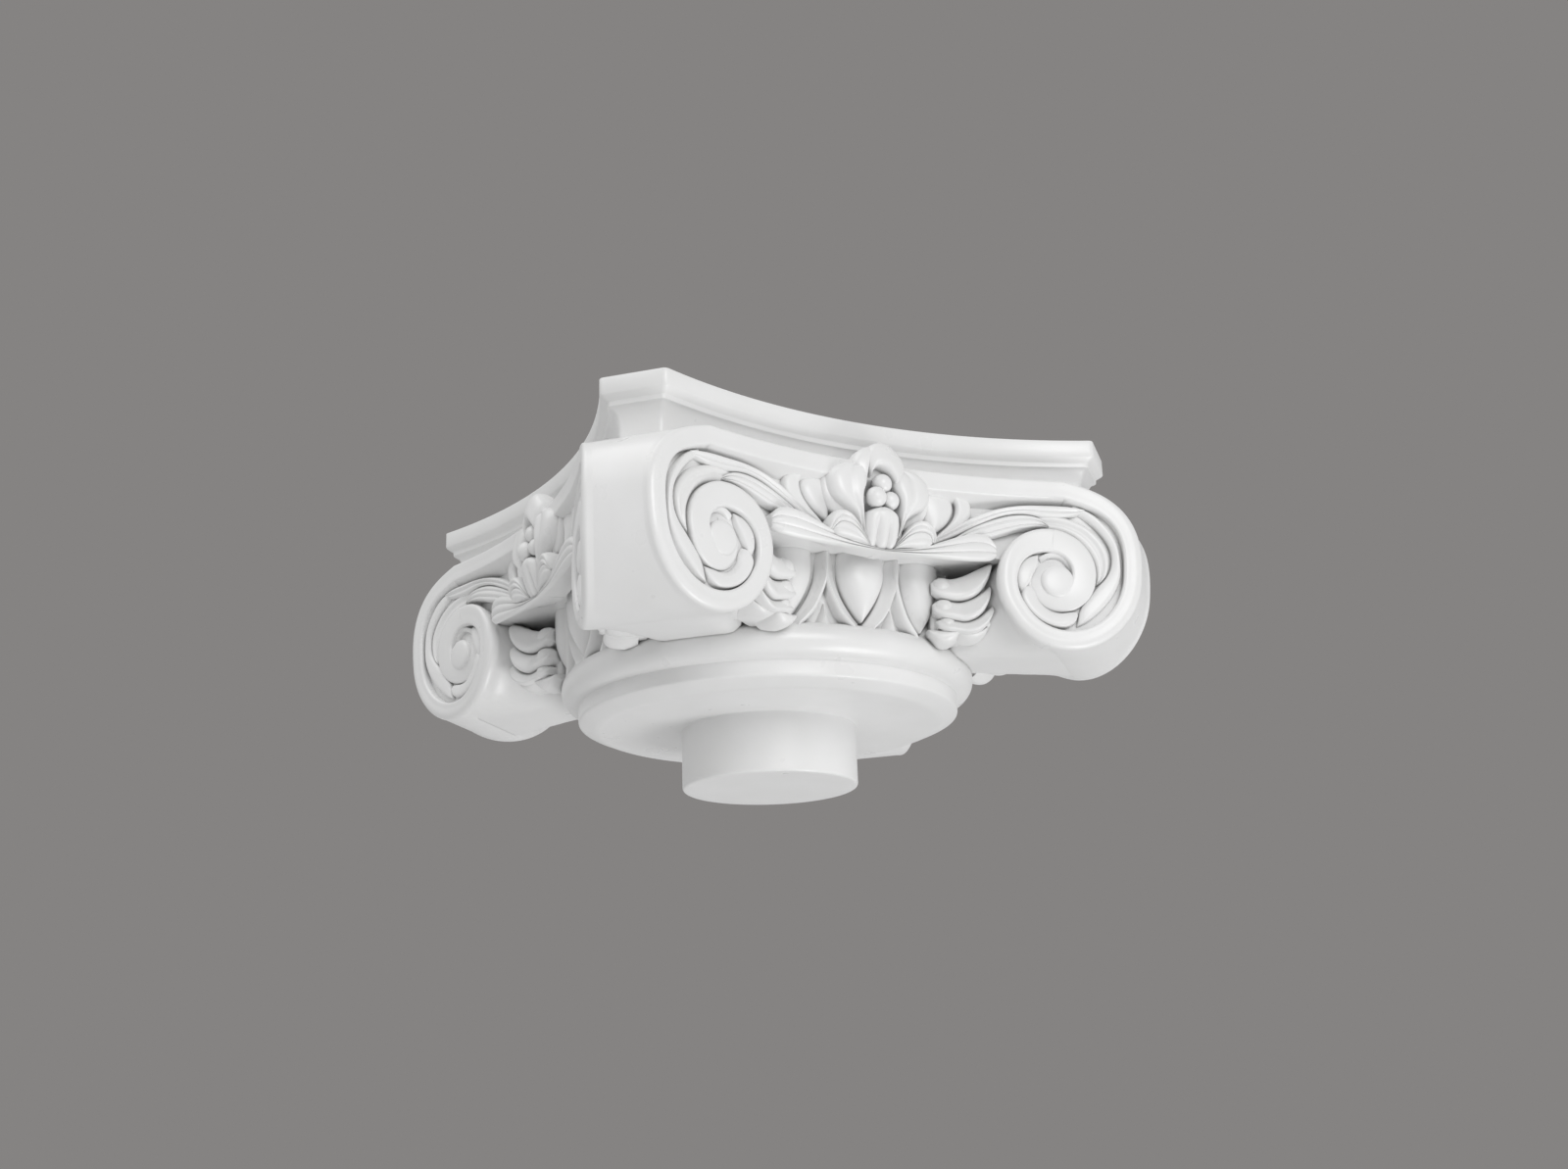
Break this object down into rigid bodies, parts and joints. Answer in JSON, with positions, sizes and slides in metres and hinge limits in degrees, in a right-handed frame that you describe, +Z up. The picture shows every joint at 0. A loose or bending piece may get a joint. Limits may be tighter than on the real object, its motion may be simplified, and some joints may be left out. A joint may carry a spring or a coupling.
{
  "type": "column capital",
  "caption": "Moulded Ionic column capital with four corner volutes and a locating spigot, set between a round column shaft and the beam or soffit above it.",
  "frame": {"origin": "centre of the spigot's flat lower end, on the capital's own axis", "axes": "+Z up along the column's axis; the four hollow faces look along -Y, +X, +Y and -X, and the volute corners lie on the diagonals between them"},
  "size_m": [0.3126, 0.3126, 0.1614],
  "materials": {
    "foam": "satin white primer on smooth moulded rigid foam"
  },
  "bodies": {
    "root": {"capital": "foam"}
  },
  "joints": []
}
